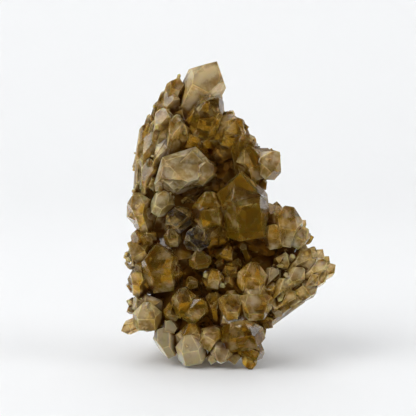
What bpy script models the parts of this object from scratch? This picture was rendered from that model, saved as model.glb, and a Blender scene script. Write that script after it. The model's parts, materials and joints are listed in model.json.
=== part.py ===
"""A smoky quartz cluster: crystals grown together on one broken mass, standing upright on its foot.

It is one solid. Every crystal is a hexagonal prism with the six sloping tip faces of quartz, cut from a block
plane by plane, and all of them are joined with the mass that they grew from.
Run with: blender --background --python part.py
"""

import math
import random
from typing import NamedTuple

import bmesh
import bpy
from mathutils import Matrix, Vector
from mathutils.bvhtree import BVHTree

MM = 0.001
NODE = "quartz_cluster"
SLOT = "smoky_quartz"
QUARTZ_COLOUR = (0.27, 0.19, 0.085)
QUARTZ_IOR = 1.544

# The layout is a front elevation. "Across" and "up" are read, in mm, on the plane through the cluster's middle that
# stands square to the sight line of an eye in front, and "ahead" is how far a point stands out towards that eye.
EYE_DISTANCE = 450.0
EYE_ELEVATION = math.radians(7.0)
MIDDLE_HEIGHT = 55.0  # the middle of the layout above the surface that the cluster stands on

ACROSS = Vector((1, 0, 0))
UP = Vector((0, math.sin(EYE_ELEVATION), math.cos(EYE_ELEVATION)))
AHEAD = Vector((0, -math.cos(EYE_ELEVATION), math.sin(EYE_ELEVATION)))
MIDDLE = Vector((0, 0, MIDDLE_HEIGHT))
EYE = MIDDLE + AHEAD * EYE_DISTANCE

# Quartz: six prism faces, and tip faces that lean 38.2 degrees from the long axis.
TIP_LEAN = math.radians(38.2)
PRISM_SIDES = 6
FACE_SPREAD = 0.12  # how unequal the six prism faces stand from the axis, as a share
MINOR_FACES = (0.02, 0.15)  # how far the three lesser tip faces are pushed out, in girths
FRONT_DIP = 0.02  # the front is turned down a little, so that it is known for a crystal that points at the eye
MINOR_FROM = 6.0  # thinner crystals have the three major faces alone

SEED = 29


class Crystal(NamedTuple):
    """One crystal. Lengths are in mm, in the layout's axes, and angles in degrees."""

    tip: tuple  # across, up, ahead
    lean: tuple  # the long axis, towards the tip
    girth: float  # between opposite prism faces
    length: float
    roll: float = 0.0  # at 0 a major tip face and the prism face below it look to the front
    flat: float = 1.0  # thickness from front to back, as a share of the girth
    double: bool = False  # pointed at both ends
    sides: tuple = ()  # how far each prism face stands out, in half girths, from the front one round to the right
    minor: float = 0.0  # how far the minor tip faces are pushed out, in girths, where it is not left to chance


# The upper left: one great crystal in parallel growth, its left flank stepped and striated.
CROWN = [
    Crystal((3.2, 52.9, 9), (0.38, 0.70, 0.60), 13.0, 34, 0),
    Crystal((-10.3, 47.2, 4), (0.34, 0.88, 0.40), 5.6, 24, 10),
    Crystal((-13.8, 43.4, 2), (0.34, 0.88, 0.30), 4.4, 22, 30),
    Crystal((-16.0, 39.6, 0), (0.32, 0.90, 0.30), 4.6, 20, 10),
    Crystal((-18.6, 34.4, -1), (0.28, 0.92, 0.25), 5.0, 22, 15),
    Crystal((-21.6, 30.9, 0), (0.16, 0.95, 0.25), 4.8, 17, 0),
    Crystal((-14.3, 35.4, 6), (0.22, 0.90, 0.25), 9, 30, 20),
    Crystal((-22.3, 25.6, 1), (0.10, 0.98, 0.20), 5.0, 18, 20),
    Crystal((-23.4, 18.4, 2), (0.10, 0.98, 0.30), 4.4, 12, 0),
    Crystal((-21.0, 20.9, 6), (0.10, 0.80, 0.60), 6.0, 18, 10),
    Crystal((-16.6, 22.7, 8), (0.05, 0.70, 0.70), 6.5, 18, 25),
    Crystal((-26.3, 8.3, 3), (-0.50, 0.30, 0.50), 4.2, 16, 0),
    Crystal((-10.0, 31.7, 10), (0.10, 0.60, 0.80), 8, 20, 10),
]

# Below and right of the crown, down to the hollow.
UPPER = [
    Crystal((4.0, 39.6, 14), (0.45, 0.50, 0.70), 10.5, 26, -15),
    Crystal((14.8, 29.2, 8), (0.85, 0.10, 0.50), 10, 26, 0),
    Crystal((6.5, 24.1, 8), (0.10, -0.35, 0.93), 8.5, 20, 10),
    Crystal((-1.8, 23.4, 7), (-0.10, -0.40, 0.90), 9.5, 20, 25),
    Crystal((-6.5, 26.3, 9), (-0.20, 0.20, 0.95), 9, 20, 0),
    Crystal((9.0, 34.6, 2), (0.70, 0.60, 0.20), 3.5, 12, 0),
    Crystal((12.2, 26.3, 12), (-0.15, 0.75, 0.65), 8.8, 26, 8),
    Crystal((17.6, 23.4, 5), (0.80, -0.45, 0.30), 2.8, 10, 0),
    Crystal((22.3, 17.3, 14), (0.35, 0.05, 0.93), 9.5, 26, 20),
    Crystal((25.9, 20.2, 8), (0.70, 0.40, 0.60), 4, 14, 0),
    Crystal((23.0, 21.6, 7), (0.30, 0.80, 0.50), 4, 14, 10),
    Crystal((25.6, 16.2, 7), (0.80, 0.00, 0.60), 4, 14, 0),
    Crystal((20.9, 6.5, 4), (0.40, -0.50, 0.50), 4, 14, 0),
    Crystal((17.0, 11.5, 9), (0.30, 0.20, 0.93), 5.5, 18, 0),
]

# The great crystals round the hollow.
MIDDLE_RING = [
    Crystal((11.5, 12.2, 21), (-0.04, 0.72, 0.69), 14, 26, -8, 1.0, True, (0.95, 1.24, 1.14, 1.0, 1.1, 1.2), 0.4),
    Crystal((0.7, 3.2, 18), (-0.15, 0.45, 0.87), 13, 24, 0),
    Crystal((-1.0, -2.5, 16), (-0.15, 0.50, 0.85), 11, 22, 10),
    Crystal((5.0, -5.0, 16), (0.05, 0.40, 0.90), 7, 20, 30),
    Crystal((-5.8, 20.5, 17), (0.00, 0.72, 0.69), 17, 18, 0, 0.7, True),
    Crystal((1.8, 15.8, 13), (0.50, 0.30, 0.80), 5, 16, 0),
    Crystal((2.5, 11.9, 12), (0.60, 0.00, 0.80), 5, 16, 0),
    Crystal((-0.7, 18.4, 14), (0.30, 0.70, 0.60), 5, 16, 0),
    Crystal((-11.5, 19.0, 12), (-0.20, 0.70, 0.70), 6, 18, 0),
    Crystal((-15.5, 14.8, 12), (-0.50, 0.40, 0.80), 6, 18, 0),
    Crystal((0.0, 9.4, 12), (0.30, -0.30, 0.90), 5, 16, 0),
    Crystal((-14.4, 10.0, 13), (-0.40, 0.00, 0.90), 6, 18, 0),
    Crystal((27.4, -7.6, 17), (0.20, -0.05, 0.97), 14, 28, 15),
    Crystal((24.5, -4.3, 14.5), (0.20, -0.05, 0.97), 9, 26, 15),
    Crystal((31.3, -10.8, 13), (0.20, -0.05, 0.97), 7, 24, 15),
    Crystal((23.4, -11.5, 12), (0.00, -0.10, 0.97), 7, 24, 0),
    Crystal((24.8, 2.5, 6), (0.10, 0.90, 0.40), 4.6, 14, 0),
    Crystal((35.3, -4.3, 5), (0.60, 0.60, 0.30), 3, 14, 0),
    Crystal((38.2, -10.4, 5), (0.80, 0.20, 0.40), 3.8, 16, 0),
    Crystal((36.4, -9.7, 7), (0.60, 0.30, 0.70), 3.5, 14, 0),
]

# The wing that reaches out to the right.
WING = [
    Crystal((46.0, -20.4, 4), (0.80, 0.50, 0.30), 5.5, 26, 0),
    Crystal((43.0, -21.0, 7), (0.80, 0.56, 0.25), 8, 34, 15),
    Crystal((39.5, -25.4, 8), (0.80, 0.58, 0.25), 7.5, 30, 15),
    Crystal((35.6, -29.5, 8), (0.78, 0.60, 0.25), 5.5, 20, 0),
    Crystal((41.4, -14.8, 4), (0.60, 0.75, 0.30), 5, 24, 0),
    Crystal((38.5, -13.8, 5), (0.45, 0.82, 0.35), 4.6, 20, 0),
    Crystal((35.2, -13.0, 6), (0.30, 0.85, 0.40), 4.4, 20, 0),
    Crystal((43.6, -17.3, 3), (0.60, 0.70, 0.40), 4, 20, 0),
    Crystal((38.5, -18.4, 10), (0.50, 0.40, 0.77), 5.5, 16, 0),
    Crystal((34.6, -17.0, 10), (0.30, 0.60, 0.70), 5, 16, 20),
    Crystal((28.0, -15.8, 10), (0.10, 0.75, 0.65), 6.5, 20, 0),
    Crystal((31.0, -24.4, 13), (0.20, 0.30, 0.93), 5.5, 18, 0),
    Crystal((30.2, -13.6, 5), (0.25, 0.55, 0.80), 8, 16, 0),
    Crystal((23.0, -21.6, 11), (-0.30, 0.60, 0.70), 5, 11, 0),
    Crystal((26.3, -25.9, 12), (-0.30, 0.60, 0.70), 6, 11, 0),
]

# The left side, from the crown down.
LEFT = [
    Crystal((-26.0, 1.0, 9), (-0.20, 0.30, 0.93), 9.5, 18, 0),
    Crystal((-22.3, -0.7, 8), (-0.10, 0.10, 0.95), 8, 18, 30),
    Crystal((-27.0, 5.4, 5), (-0.50, 0.50, 0.70), 4.6, 18, 0),
    Crystal((-20.2, 10.4, 9), (-0.20, 0.40, 0.87), 5.2, 18, 0),
    Crystal((-17.3, 9.0, 12), (-0.10, 0.30, 0.95), 5, 18, 20),
    Crystal((-23.8, 10.1, 6), (-0.30, 0.50, 0.80), 4.5, 18, 10),
    Crystal((-14.0, 6.5, 11), (0.25, 0.75, 0.60), 5.4, 18, 20),
    Crystal((-25.0, -10.8, 9), (-0.20, 0.20, 0.95), 7.5, 18, 0),
    Crystal((-22.0, -9.0, 7), (-0.10, 0.40, 0.90), 6, 18, 20),
    Crystal((-29.2, -12.6, 3), (-0.75, 0.30, 0.50), 3.4, 16, 0),
    Crystal((-27.4, -17.6, 8), (-0.25, 0.15, 0.95), 7, 18, 0),
    Crystal((-24.1, -21.2, 9), (-0.10, 0.10, 0.98), 5.5, 18, 25),
    Crystal((-30.2, -19.8, 2), (-0.80, 0.10, 0.40), 3.4, 18, 0),
    Crystal((-25.6, -26.6, 9), (-0.20, -0.10, 0.95), 8.5, 18, 10),
    Crystal((-29.4, -28.0, 3), (-0.60, 0.10, 0.60), 4, 18, 0),
    Crystal((-18.4, -13.3, 16), (-0.10, 0.75, 0.65), 10.5, 18, 0, 1.0, False, (1.0, 1.1, 1.05, 1.0, 1.0, 1.1), 0.25),
    Crystal((-22.0, -36.4, 12), (-0.10, 0.10, 0.98), 10.5, 18, 0),
    Crystal((-25.6, -33.0, 8), (-0.25, 0.40, 0.85), 6, 18, 0),
    Crystal((-31.3, -44.3, 5), (-0.85, -0.35, 0.35), 4.8, 18, 0),
    Crystal((-22.3, -43.2, 11), (-0.15, -0.40, 0.90), 7.5, 18, 0),
    Crystal((-29.5, -33.5, 2), (-0.70, 0.20, 0.50), 3.4, 16, 0),
    Crystal((-29.2, -37.0, 4), (-0.60, -0.10, 0.70), 3.6, 16, 20),
]

# The floor of the hollow and the low middle.
FLOOR = [
    Crystal((-10.8, -0.7, 6), (-0.10, 0.50, 0.85), 8, 18, 0),
    Crystal((-3.2, -8.6, 6), (0.10, 0.30, 0.95), 7.5, 18, 0),
    Crystal((-7.2, 3.6, 1), (0.00, 0.10, 0.99), 6, 14, 0),
    Crystal((-13.0, -8.6, 10), (-0.10, 0.60, 0.75), 3.5, 16, 0),
    Crystal((-2.2, -16.6, 8), (0.10, 0.35, 0.93), 9, 18, 0),
    Crystal((7.9, -15.1, 8), (0.00, 0.20, 0.98), 6.5, 18, 0),
    Crystal((12.2, -12.6, 7), (-0.30, 0.80, 0.50), 3, 12, 0),
    Crystal((1.8, -25.6, 14), (0.00, 0.10, 0.99), 7.5, 22, 0),
    Crystal((-6.5, -25.9, 12), (-0.20, 0.40, 0.90), 4.5, 20, 0),
    Crystal((5.0, -19.4, 11), (0.10, 0.30, 0.90), 4, 18, 10),
    Crystal((8.6, -21.6, 12), (-0.10, 0.20, 0.95), 4, 18, 20),
    Crystal((7.6, -26.6, 13), (0.10, 0.10, 0.98), 4.5, 18, 30),
    Crystal((10.8, -19.4, 11), (0.10, 0.40, 0.90), 4, 18, 0),
    Crystal((-9.0, -33.8, 15), (-0.10, 0.15, 0.98), 9.5, 24, 0),
    Crystal((-1.8, -36.7, 13), (0.20, -0.10, 0.97), 7, 22, 0),
    Crystal((-13.7, -38.2, 13), (-0.20, -0.10, 0.97), 6.5, 22, 0),
    Crystal((-6.5, -43.9, 12), (0.00, 0.00, 1.00), 7.5, 22, 0),
    Crystal((3.6, -33.1, 12), (0.00, 0.20, 0.98), 5, 20, 0),
    Crystal((-11.5, -20.5, 12), (0.00, 0.60, 0.75), 4, 18, 0),
]

# The lower right and the bottom edge.
LOWER = [
    Crystal((17.3, -33.1, 18), (0.00, -0.12, 0.99), 9.5, 26, 0),
    Crystal((16.2, -25.2, 15), (0.00, 0.10, 0.99), 9.5, 24, 0),
    Crystal((8.6, -31.7, 16), (-0.05, 0.35, 0.93), 6.5, 24, 0),
    Crystal((11.5, -43.2, 17), (0.10, -0.30, 0.95), 13, 28, 0),
    Crystal((15.8, -45.7, 14), (0.30, -0.40, 0.85), 8, 24, 0),
    Crystal((23.0, -34.9, 13), (0.20, -0.20, 0.95), 6, 24, 0),
    Crystal((22.7, -29.5, 14), (0.10, 0.10, 0.98), 6, 24, 0),
    Crystal((26.6, -39.4, 9), (0.60, -0.60, 0.50), 3.4, 14, 0),
    Crystal((23.4, -43.2, 9), (0.60, -0.50, 0.60), 5, 20, 0),
    Crystal((20.5, -46.8, 8), (0.50, -0.70, 0.50), 4, 18, 0),
    Crystal((18.7, -52.9, 9), (0.70, -0.50, 0.50), 6, 20, 0),
    Crystal((15.0, -51.0, 11), (0.40, -0.50, 0.75), 7, 22, 0),
    Crystal((4.7, -56.0, 11), (0.00, -0.65, 0.76), 6.4, 22, 0),
    Crystal((9.7, -56.5, 11), (0.10, -0.75, 0.65), 5, 20, 0),
    Crystal((15.5, -58.7, 11), (0.12, -0.90, 0.40), 4.6, 14, 0),
    Crystal((1.1, -56.5, 10), (-0.20, -0.90, 0.40), 3.4, 16, 0),
    Crystal((-7.6, -50.0, 14), (-0.10, -0.30, 0.95), 9.5, 24, 0),
    Crystal((-3.2, -50.4, 12), (0.00, -0.30, 0.95), 7, 22, 0),
    Crystal((-9.0, -54.4, 9), (-0.10, -0.80, 0.50), 4.5, 18, 0),
    Crystal((-15.5, -44.3, 11), (-0.40, -0.30, 0.85), 5.5, 20, 0),
    Crystal((-15.4, -51.6, 5), (-0.50, -0.70, 0.40), 5, 18, 0),
    Crystal((-19.4, -47.9, 5), (-0.60, -0.55, 0.50), 5, 18, 0),
    Crystal((1.8, -45.0, 14), (-0.10, 0.10, 0.99), 6, 22, 0),
]

# The mass behind the crystals: broken lumps, each with its middle and half sizes (across, up, ahead).
LUMPS = [
    ((-8, 31, -5), (8.5, 11, 7)),
    ((4, 25, -8), (9, 10, 7)),
    ((-9, 8, -9), (13, 16, 8)),
    ((8, 6, -12), (9, 15, 7)),
    ((17, -11, -8), (15, 10, 10)),
    ((-10, -16, -7), (14, 15, 12)),
    ((13, -26, -5), (14, 12, 12)),
    ((-8, -35, -5), (14, 10, 11)),
    ((9, -40, -6), (10, 10, 13)),
    ((7, -46, -10), (8.5, 8.5, 12)),
    ((-8.5, -43, -18), (7, 10, 9)),
    ((-6, -44, -6), (9, 8, 12)),
]
LUMP_FACES = 26

# The crystals on the back and flanks grow out from the mass, and keep behind what stands in front of them.
BACK_TRIES = 6000
BACK_COUNT = 52
BACK_GIRTH = (6.5, 13.0)
BACK_OUT = (0.45, 0.85)  # how far a tip stands out of the mass, in girths
BACK_LENGTH = 18.0
BACK_SPACING = 0.72  # between two neighbours, in the sum of their half girths
BACK_HEIGHTS = (-50.0, 44.0)
CORE_DEPTH = -9.0
CLEAR = 1.2  # how far a back crystal keeps inside what hides it


def place(across, up, ahead):
    """The point in space, in metres, that the layout gives: nearer points stay on their own sight line."""
    on_plane = MIDDLE + ACROSS * across + UP * up
    return on_plane.lerp(EYE, ahead / EYE_DISTANCE) * MM


def direction(across, up, ahead):
    return (ACROSS * across + UP * up + AHEAD * ahead).normalized()


def cut(solid, point, normal):
    """Cuts away what lies beyond the plane and closes the convex solid with one flat face."""
    made = bmesh.ops.bisect_plane(
        solid,
        geom=solid.verts[:] + solid.edges[:] + solid.faces[:],
        dist=1e-8,
        plane_co=point,
        plane_no=normal,
        clear_outer=True,
    )
    rim = [e for e in made["geom_cut"] if isinstance(e, bmesh.types.BMEdge)]
    if len(rim) > 2:
        bmesh.ops.contextual_create(solid, geom=rim)


def carved(name, middle, reach, planes, group):
    """A convex solid: a block round its middle, cut by planes given as (point, normal)."""
    solid = bmesh.new()
    bmesh.ops.create_cube(solid, size=2 * reach, matrix=Matrix.Translation(middle))
    for point, normal in planes:
        cut(solid, point, normal)
    mesh = bpy.data.meshes.new(name)
    solid.to_mesh(mesh)
    solid.free()
    thing = bpy.data.objects.new(name, mesh)
    group.objects.link(thing)
    return thing


def tip_planes(tip, axis, sides, girth, minor, chance):
    """The tip faces. The three major ones meet in the point, and the three minor ones cut less or are missing."""
    planes = []
    for k, side in enumerate(sides):
        if k % 2 and girth < MINOR_FROM * MM:
            continue
        normal = axis * math.sin(TIP_LEAN) + side * math.cos(TIP_LEAN)
        push = 0.0 if k % 2 == 0 else (minor or chance.uniform(*MINOR_FACES)) * girth
        planes.append((tip + normal * push, normal))
    return planes


def crystal_solid(tip, axis, front, crystal, index, group):
    """A quartz crystal with its point at tip and its long axis along axis."""
    chance = random.Random(SEED * 1000 + index)
    girth, length = crystal.girth * MM, crystal.length * MM
    front = (front - axis * front.dot(axis)).normalized()
    sides = [
        Matrix.Rotation(math.radians(crystal.roll) + k * math.tau / PRISM_SIDES, 3, axis) @ front
        for k in range(PRISM_SIDES)
    ]
    planes = tip_planes(tip, axis, sides, girth, crystal.minor, chance)
    for k, side in enumerate(sides):
        share = crystal.sides[k] if crystal.sides else chance.uniform(1 - FACE_SPREAD, 1 + FACE_SPREAD)
        share *= 1 + (crystal.flat - 1) * abs(side.dot(front))
        planes.append((tip + side * girth / 2 * share, side))
    foot = tip - axis * length
    if crystal.double:
        planes += tip_planes(foot, -axis, sides, girth, crystal.minor, chance)
    else:
        planes.append((foot, -axis))
    return carved(f"crystal_{index}", tip - axis * length / 2, length, planes, group)


def lump_solid(middle, halves, index, group):
    """A broken lump: flat fracture faces round an ellipsoid."""
    chance = random.Random(SEED * 2000 + index)
    centre = place(*middle)
    planes = []
    for k in range(LUMP_FACES):
        height = 1 - 2 * (k + 0.5) / LUMP_FACES
        turn = k * math.pi * (3 - math.sqrt(5)) + chance.uniform(-0.4, 0.4)
        level = math.sqrt(1 - height * height)
        way = (level * math.cos(turn), height, level * math.sin(turn))
        reach = math.sqrt(sum((h * w) ** 2 for h, w in zip(halves, way)))
        normal = direction(*way)
        planes.append((centre + normal * reach * chance.uniform(0.86, 1.0) * MM, normal))
    return carved(f"lump_{index}", centre, max(halves) * 2 * MM, planes, group)


def surface(group):
    """What the placed solids look like to a ray."""
    verts, faces = [], []
    for thing in group.objects:
        base = len(verts)
        verts += [v.co.copy() for v in thing.data.vertices]
        faces += [[base + i for i in face.vertices] for face in thing.data.polygons]
    return BVHTree.FromPolygons(verts, faces)


def hidden(tree, point):
    """Whether something stands between the layout's eye and the point."""
    eye = EYE * MM
    way = point - eye
    hit = tree.ray_cast(eye, way.normalized(), way.length - CLEAR * MM)
    return hit[0] is not None


def back_crystals(group, first):
    """Crystals over the back and the flanks, which point away from the core."""
    chance = random.Random(SEED)
    tree = surface(group)
    placed = []
    for _ in range(BACK_TRIES):
        if len(placed) == BACK_COUNT:
            break
        height = chance.uniform(*BACK_HEIGHTS)
        turn = math.radians(chance.uniform(-112, 112))
        girth = chance.uniform(*BACK_GIRTH)
        outward = direction(math.sin(turn), chance.uniform(-0.35, 0.5), -math.cos(turn))
        start = place(0, height, CORE_DEPTH) + outward * 0.1
        hit, normal, _, _ = tree.ray_cast(start, -outward)
        if hit is None:
            continue
        axis = (outward * 0.9 + normal * 0.5 + direction(chance.gauss(0, 1), chance.gauss(0, 1), 0) * 0.3).normalized()
        tip = hit + axis * girth * chance.uniform(*BACK_OUT) * MM
        if tip.z < girth * MM or not hidden(tree, tip):
            continue
        if any((tip - other).length < BACK_SPACING * (girth + wide) / 2 * MM for other, wide in placed):
            continue
        crystal = Crystal((0, 0, 0), (0, 0, 1), girth, BACK_LENGTH, chance.uniform(0, 60))
        grown = crystal_solid(tip, axis, UP, crystal, first + len(placed), group)
        if all(hidden(tree, vert.co) for vert in grown.data.vertices):
            placed.append((tip, girth))
        else:
            bpy.data.objects.remove(grown)


def joined(group):
    """One solid out of all that the group holds."""
    mesh = bpy.data.meshes.new(NODE)
    cluster = bpy.data.objects.new(NODE, mesh)
    bpy.context.scene.collection.objects.link(cluster)
    union = cluster.modifiers.new("union", "BOOLEAN")
    union.operation = "UNION"
    union.solver = "EXACT"
    union.use_self = True
    union.operand_type = "COLLECTION"
    union.collection = group
    graph = bpy.context.evaluated_depsgraph_get()
    solid = bmesh.new()
    solid.from_mesh(cluster.evaluated_get(graph).to_mesh())
    cluster.modifiers.clear()
    for thing in list(group.objects):
        bpy.data.objects.remove(thing)
    return cluster, solid


def stand(solid):
    """Cuts the cluster level where it stands, so that its feet rest flat."""
    made = bmesh.ops.bisect_plane(
        solid,
        geom=solid.verts[:] + solid.edges[:] + solid.faces[:],
        dist=1e-8,
        plane_co=(0, 0, 0),
        plane_no=(0, 0, -1),
        clear_outer=True,
    )
    rim = [e for e in made["geom_cut"] if isinstance(e, bmesh.types.BMEdge)]
    bmesh.ops.holes_fill(solid, edges=rim, sides=0)


def shells(solid):
    """The separate closed surfaces of a mesh, each as a set of faces."""
    left, found = set(solid.faces), []
    while left:
        stack, shell = [left.pop()], set()
        while stack:
            face = stack.pop()
            shell.add(face)
            for edge in face.edges:
                for other in edge.link_faces:
                    if other in left:
                        left.discard(other)
                        stack.append(other)
        found.append(shell)
    return found


def quartz():
    """Smoky quartz, for a viewer that knows plain values only."""
    material = bpy.data.materials.new(SLOT)
    material.use_nodes = True
    shader = material.node_tree.nodes["Principled BSDF"]
    shader.inputs["Base Color"].default_value = (*QUARTZ_COLOUR, 1)
    shader.inputs["Roughness"].default_value = 0.12
    shader.inputs["IOR"].default_value = QUARTZ_IOR
    return material


def main():
    for thing in list(bpy.data.objects):
        bpy.data.objects.remove(thing)
    group = bpy.data.collections.new("crystals")
    bpy.context.scene.collection.children.link(group)

    crystals = CROWN + UPPER + MIDDLE_RING + WING + LEFT + FLOOR + LOWER
    for index, crystal in enumerate(crystals):
        front = AHEAD - UP * FRONT_DIP
        crystal_solid(place(*crystal.tip), direction(*crystal.lean), front, crystal, index, group)
    for index, (middle, halves) in enumerate(LUMPS):
        lump_solid(middle, halves, index, group)
    back_crystals(group, len(crystals))

    cluster, solid = joined(group)
    outside = max(shells(solid), key=len)
    bmesh.ops.delete(solid, geom=[f for f in solid.faces if f not in outside], context="FACES")
    stand(solid)
    bmesh.ops.triangulate(solid, faces=solid.faces[:])
    centre = Vector([(min(v.co[k] for v in solid.verts) + max(v.co[k] for v in solid.verts)) / 2 for k in (0, 1)] + [0])
    bmesh.ops.translate(solid, verts=solid.verts[:], vec=-centre)
    solid.to_mesh(cluster.data)
    solid.free()
    cluster.data.materials.append(quartz())


main()
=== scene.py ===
"""Smoky quartz cluster: smaller crystals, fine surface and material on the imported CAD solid."""

import itertools
import json
import math
import random
from typing import NamedTuple

import bmesh
import bpy
import numpy as np
from mathutils import Matrix, Vector, kdtree, noise
from mathutils.bvhtree import BVHTree

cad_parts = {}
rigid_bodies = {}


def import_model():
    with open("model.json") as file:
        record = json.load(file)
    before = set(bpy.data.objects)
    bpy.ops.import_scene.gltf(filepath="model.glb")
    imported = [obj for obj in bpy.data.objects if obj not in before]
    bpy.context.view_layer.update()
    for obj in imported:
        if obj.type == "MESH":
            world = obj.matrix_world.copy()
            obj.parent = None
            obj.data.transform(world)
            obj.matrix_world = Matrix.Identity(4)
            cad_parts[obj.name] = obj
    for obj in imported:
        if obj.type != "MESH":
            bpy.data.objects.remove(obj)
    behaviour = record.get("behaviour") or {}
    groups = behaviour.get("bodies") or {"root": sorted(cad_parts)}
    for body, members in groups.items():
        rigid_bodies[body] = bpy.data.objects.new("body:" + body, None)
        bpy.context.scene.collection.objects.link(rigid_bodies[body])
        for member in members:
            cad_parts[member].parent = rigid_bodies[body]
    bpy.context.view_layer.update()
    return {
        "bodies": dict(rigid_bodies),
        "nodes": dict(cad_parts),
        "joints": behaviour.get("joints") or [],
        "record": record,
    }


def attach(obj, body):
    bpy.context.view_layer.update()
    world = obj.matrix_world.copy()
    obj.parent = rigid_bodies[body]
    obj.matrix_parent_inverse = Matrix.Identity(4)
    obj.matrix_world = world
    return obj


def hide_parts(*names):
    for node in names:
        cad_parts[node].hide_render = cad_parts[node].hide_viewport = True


MM = 0.001
NODE = "quartz_cluster"
SEED = 11

# The camera: in front, a little above, aimed at the middle of the cluster.
EYE_DISTANCE = 450 * MM
EYE_ELEVATION = math.radians(7.0)
AIM = Vector((-7.319, -2.249, 55.0)) * MM
PIXELS = 416
PIXEL_AT_AIM = 0.36 * MM
SENSOR = 36.0
CLIP = (0.01, 20)

# The picture's directions, and the eye.
TO_EYE = Vector((0, -math.cos(EYE_ELEVATION), math.sin(EYE_ELEVATION)))
RIGHT = Vector((1, 0, 0))
UP = Vector((0, math.sin(EYE_ELEVATION), math.cos(EYE_ELEVATION)))
EYE = AIM + TO_EYE * EYE_DISTANCE

# The room's brightness behind the camera, behind the object and overhead, and between which
# directions it fades in, where straight back and straight up are 1.
FRONT_ROOM = 0.02
BACK_ROOM = 1.0
TOP_ROOM = 0.12
BACK_FADE = (-0.1, 0.7)
TOP_FADE = (0.35, 0.9)
ROOM_TINT = (0.97, 0.98, 1.0, 1)

# The lamps: name, place, aim and width in metres, and power in watts.
LAMPS = [
    ("key", (-0.8, -0.5, 0.95), (0, 0, 0.05), 1.1, 11),
    ("fill", (0.85, -0.25, 0.45), (0, 0, 0.05), 0.55, 2.4),
    ("backdrop", (0, 0.35, 1.25), (0, 1.1, 0.3), 0.9, 5),
]

# The round floor in metres: its flat part's radius, the turn up into the wall, and the wall's top.
FLOOR_FLAT = 0.5
FLOOR_TURN = 0.7
WALL_HIGH = 3.0
ROUND = 96
TURN_STEPS = 12
PAPER = (0.82, 0.825, 0.83, 1)
PAPER_ROUGH = 0.7

# What counts as one point, one flat face, a plain ridge or seam, and the least ridge of a crystal.
WELD = 0.0002 * MM
FLAT = math.radians(0.3)
CREASE = math.radians(12)
LEAST_RIDGE = math.radians(0.1)

# Quartz: its tip faces lean from the long axis by this, in degrees. A crystal one across has a tip
# this high, and its tip faces' normals have these parts along and across the axis.
LEAN = 38.2
TIP_HIGH = 0.5 / math.tan(math.radians(LEAN))
TIP_NORMAL = math.cos(math.radians(90 - LEAN))
TIP_STEEP = math.sqrt(1 - TIP_NORMAL**2)

# Finding a crystal's axis: how far a normal may be off, closely and roughly, and how far apart two
# faces must turn to give an axis, as cosines and a sine.
CLOSE_FIT = 0.03
ROUGH_FIT = 0.05
LEAST_TURN = 0.4

# Sugar: small crystals grown over seams, rims and the sugary places. SUGAR_HALF is half their
# thickness. Their width, reach, lean, point, sinking and distance apart are shares of it.
SUGAR_TRIES = 60000
SUGAR_COUNT = 700
SUGAR_HALF = (0.38 * MM, 1.4 * MM)
SUGAR_SMALL = 2.2  # the higher, the fewer big ones
SUGAR_WIDE = (0.75, 1.3)
SUGAR_REACH = (0.1, 1.8)
SUGAR_LEAN = 0.4
SUGAR_POINT = (0.7, 1.1)
SUGAR_SUNK = (0.45, 0.75)
SUGAR_APART = 0.62
SUGAR_ROUND = 0.6  # allowed round one when they are put in groups that don't touch
SUGAR_ROOT = 1.1 * MM  # how deep they are rooted
SUGAR_CELL = 2 * MM  # the grid by which near ones are found
SUGAR_PATCH = 6 * MM  # how broad the patches of it are
SUGAR_ABOVE = 1.5 * MM  # none grows lower than this
SUGAR_SEAM = 1.6 * MM  # how far from a seam it spreads
SEAM_SUGAR = 0.12  # how crusted a seam is
SEAM_MARKS = 0.4 * MM
LOOSE = 0.25  # the share that don't follow their crystal's axis
LOOSE_BELOW = -0.2  # nor do those on a face that turns away from it by this cosine
LOOSE_SPLAY = math.radians(30)
PARALLEL_SPLAY = math.radians(5)
SPLAY_SHARE = 0.6

# Crystals of middle size: how much of its face one must clear, the rings of points where that is
# tried, and how far it may stand past the solid's front.
FACE_REACH = 0.38
FACE_RINGS = ((0, 1), (0.55, 8), (1, 8))
PAST = 0.7 * MM

# How one is cut: from a block this many girths wide, with sides and tip faces that vary by shares of
# the girth. The tip face of the side behind is cut back by the crystal's own blunt.
BLOCK = 4
SIDE_CHANCE = (0.92, 1.08)
TIP_PUSH = (0.02, 0.10)
SIDE_BEHIND = 3
CUT_SNAP = 1e-8

# The fine mesh: the borders of broad, middle and small faces, the most of a face's half width that a
# border takes, and the least face that has one.
BORDERS = (0.30 * MM, 0.20 * MM, 0.13 * MM)
BORDER_SHARE = 0.5
BORDER_AREA = 1.4 * MM**2
LEAST_ROUND = 1e-9  # keeps an empty face from dividing by nothing

# Its longest edges before they are halved, the marks along ridges and seams, the angle that shades
# sharp, and how near a crystal's face a part of the mesh must lie to belong to it.
LONGEST_EDGE = 3.0 * MM
HALVINGS = 2
MARK_EVERY = 0.15 * MM
SHARP = math.radians(24)
ON_FACET = 0.01 * MM

# Its relief: low waves, growth steps that follow the edges, and chips out of the edges.
WAVE = 0.018 * MM
WAVE_LONG = 3.1 * MM
WAVE_SHORT = 1.3 * MM
WAVE_EDGE = 0.5 * MM  # nearer an edge they fade
STEP = 0.02 * MM
STEP_EVERY = 1.3 * MM
STEP_SWAY = 0.8 * MM  # how far their lines stray, in bends this long
STEP_BEND = 2.4 * MM
STEPS = 3
CHIP = 0.14 * MM
CHIP_EVERY = 1.1 * MM
CHIP_FROM = 0.12  # how high its noise must be before it chips
CHIP_WIDE = 0.45 * MM
CHIP_SHIFT = Vector((7, 3, 5))  # takes its noise elsewhere than the waves'

# How enclosed a place is: rays sent out from it, how low they dip, and what a far hit counts.
RAYS = 14
RAY_REACH = 22 * MM
RAY_START = 0.05 * MM
RAY_DIP = 0.9
FAR_HIT = 0.5

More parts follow.
